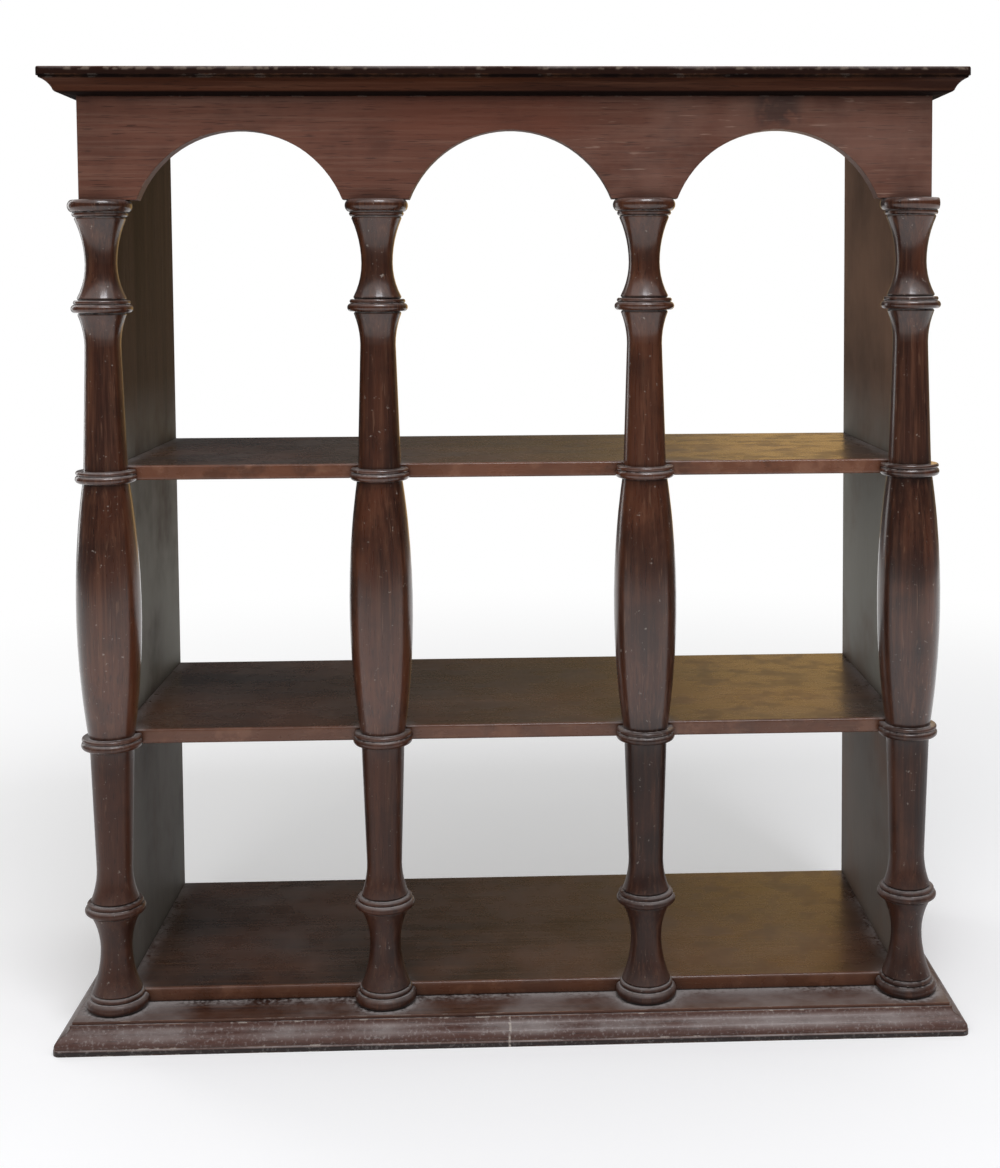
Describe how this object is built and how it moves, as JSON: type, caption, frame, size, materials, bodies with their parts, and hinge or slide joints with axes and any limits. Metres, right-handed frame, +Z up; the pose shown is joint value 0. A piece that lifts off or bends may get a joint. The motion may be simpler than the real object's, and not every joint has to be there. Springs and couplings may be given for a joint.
{
  "type": "etagere",
  "caption": "Open-backed wooden table etagere: shelves between side panels, turned columns under an arched fascia, moulded base and cornice.",
  "frame": {"origin": "middle of the footprint, on the floor under the base", "axes": "+X to the viewer's right, +Y to the open back, +Z up; the columns face -Y"},
  "size_m": [0.5756, 0.225, 0.61],
  "materials": {
    "case_mahogany": "old polished finish, dark red-brown",
    "turned_mahogany": "old polished finish, glossy on the rings",
    "moulding_mahogany": "worn polish with dust and chips",
    "plain_softwood": "unfinished",
    "screw_steel": "dull, slightly rusted"
  },
  "bodies": {
    "root": {"base_board": "case_mahogany", "base_moulding_front": "moulding_mahogany", "base_moulding_left": "moulding_mahogany", "base_moulding_right": "moulding_mahogany", "bottom_shelf": "case_mahogany", "middle_shelf": "case_mahogany", "upper_shelf": "case_mahogany", "side_panel_left": "case_mahogany", "side_panel_right": "case_mahogany", "column_outer_left": "turned_mahogany", "column_inner_left": "turned_mahogany", "column_inner_right": "turned_mahogany", "column_outer_right": "turned_mahogany", "arcade_fascia": "case_mahogany", "top_board": "case_mahogany", "cornice_front": "moulding_mahogany", "cornice_left": "moulding_mahogany", "cornice_right": "moulding_mahogany", "glue_blocks": "plain_softwood", "base_screws": "screw_steel", "top_dowels": "plain_softwood"}
  },
  "joints": []
}
